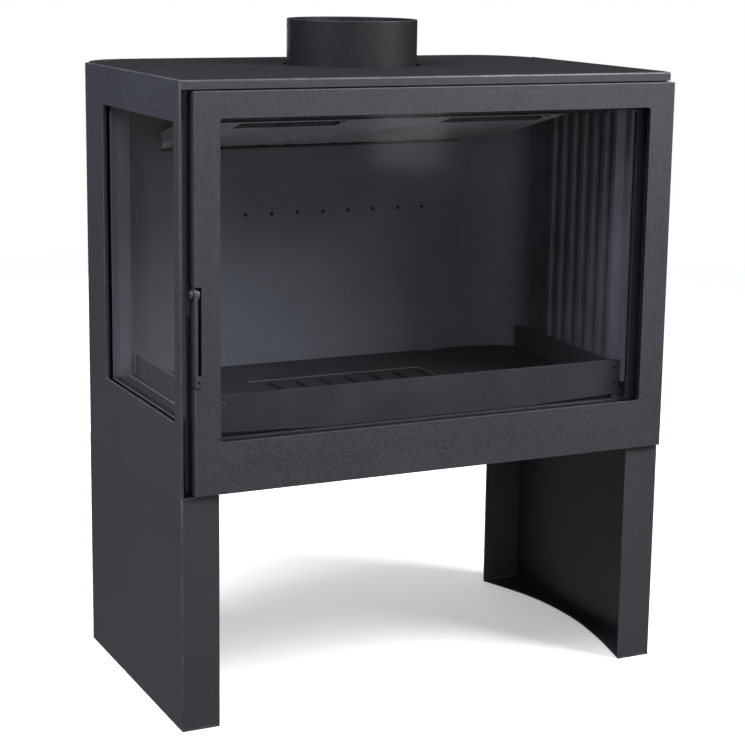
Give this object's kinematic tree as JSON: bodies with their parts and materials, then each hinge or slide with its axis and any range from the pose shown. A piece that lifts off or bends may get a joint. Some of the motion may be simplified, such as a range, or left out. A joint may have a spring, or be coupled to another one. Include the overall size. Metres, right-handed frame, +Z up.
{
  "type": "wood burning stove",
  "caption": "Wide steel wood stove on two folded C-shaped legs, with a glazed front door, a glazed left side, a round flue collar on top and a rounded rear cover.",
  "frame": {"origin": "on the floor, at the centre of the bounding box's base", "axes": "+Z up, -Y out of the front door, +X to the right of someone who faces the door"},
  "size_m": [0.8, 0.525, 1.008],
  "materials": {
    "stove_paint": "fine textured high-temperature paint, anthracite, satin",
    "leg_paint": "fine textured high-temperature paint, anthracite, satin",
    "casing_steel": "matt dark paint on sheet steel",
    "liner_steel": "matt grey heat-proof paint",
    "cast_iron": "matt, dark, slightly rough",
    "vermiculite": "matt brown-grey pressed vermiculite board",
    "ceramic_glass": "clear heat-resistant glass",
    "rope_seal": "woven glass-fibre rope, dark grey",
    "plain_steel": "dull dark zinc plated steel"
  },
  "bodies": {
    "stove_body": {"leg_left_shell": "leg_paint", "leg_left_foot_plate": "leg_paint", "leg_left_top_plate": "leg_paint", "leg_left_bolt_front": "plain_steel", "leg_left_bolt_rear": "plain_steel", "leg_right_shell": "leg_paint", "leg_right_foot_plate": "leg_paint", "leg_right_top_plate": "leg_paint", "leg_right_bolt_front": "plain_steel", "leg_right_bolt_rear": "plain_steel", "base_plate": "casing_steel", "side_panel_left": "stove_paint", "side_panel_right": "stove_paint", "top_plate": "stove_paint", "rear_cover": "stove_paint", "flue_collar": "stove_paint", "firebox_front_frame": "stove_paint", "firebox_left_wall": "liner_steel", "firebox_right_wall": "casing_steel", "firebox_rear_wall": "casing_steel", "firebox_top_wall": "casing_steel", "side_window_reveal": "liner_steel", "side_window_glass": "ceramic_glass", "side_window_gasket": "rope_seal", "hearth_floor": "cast_iron", "hearth_front_angle": "stove_paint", "rear_liner": "liner_steel", "corner_liner": "liner_steel", "ribbed_side_liner": "cast_iron", "rear_liner_clip": "liner_steel", "hearth_board_left": "cast_iron", "hearth_board_right": "cast_iron", "log_guard_lug_left": "stove_paint", "log_guard_lug_right": "stove_paint", "ash_well": "casing_steel", "baffle_rear_ledge": "casing_steel", "baffle_front_rail": "casing_steel", "airwash_deflector": "casing_steel", "air_slider_keeper_rear": "casing_steel", "air_slider_keeper_front_left": "casing_steel", "air_slider_keeper_front_right": "casing_steel", "hinge_pin_top": "plain_steel", "hinge_pin_bottom": "plain_steel"},
    "door": {"door_frame": "stove_paint", "door_glass": "ceramic_glass", "door_glass_gasket": "rope_seal", "door_glass_retainer": "casing_steel", "door_rope_seal": "rope_seal", "door_hinge_block_top": "plain_steel", "door_hinge_block_bottom": "plain_steel"},
    "handle": {"handle_lever": "stove_paint", "latch_hook": "plain_steel", "handle_pivot_pin": "plain_steel"},
    "air_slider": {"air_slider": "plain_steel"},
    "grate": {"grate": "cast_iron"},
    "ash_pan": {"ash_pan": "casing_steel"},
    "log_guard": {"log_guard": "cast_iron"},
    "baffle": {"baffle_board": "vermiculite"}
  },
  "joints": [
    {"name": "door_hinge", "type": "hinge", "parent": "stove_body", "child": "door", "pos_m": [0.391, -0.2425, 0.62], "axis": [0, 0, 1], "range_deg": [0, 110]},
    {"name": "handle_pivot", "type": "hinge", "parent": "door", "child": "handle", "pos_m": [-0.3785, -0.2485, 0.642], "axis": [-1, 0, 0], "range_deg": [0, 60]},
    {"name": "air_slide", "type": "slide", "parent": "stove_body", "child": "air_slider", "axis": [1, 0, 0], "range_m": [0, 0.04]},
    {"name": "grate_lift", "type": "slide", "parent": "stove_body", "child": "grate", "axis": [0, 0, 1], "range_m": [0, 0.3]},
    {"name": "ash_pan_lift", "type": "slide", "parent": "stove_body", "child": "ash_pan", "axis": [0, 0, 1], "range_m": [0, 0.15]},
    {"name": "log_guard_lift", "type": "slide", "parent": "stove_body", "child": "log_guard", "axis": [0, 0, 1], "range_m": [0, 0.12]},
    {"name": "baffle_lift", "type": "slide", "parent": "stove_body", "child": "baffle", "axis": [0, 0, 1], "range_m": [0, 0.01]}
  ],
  "couplings": [
    {"joint": "ash_pan_lift", "follows": "grate_lift", "ratio": 0.5}
  ]
}
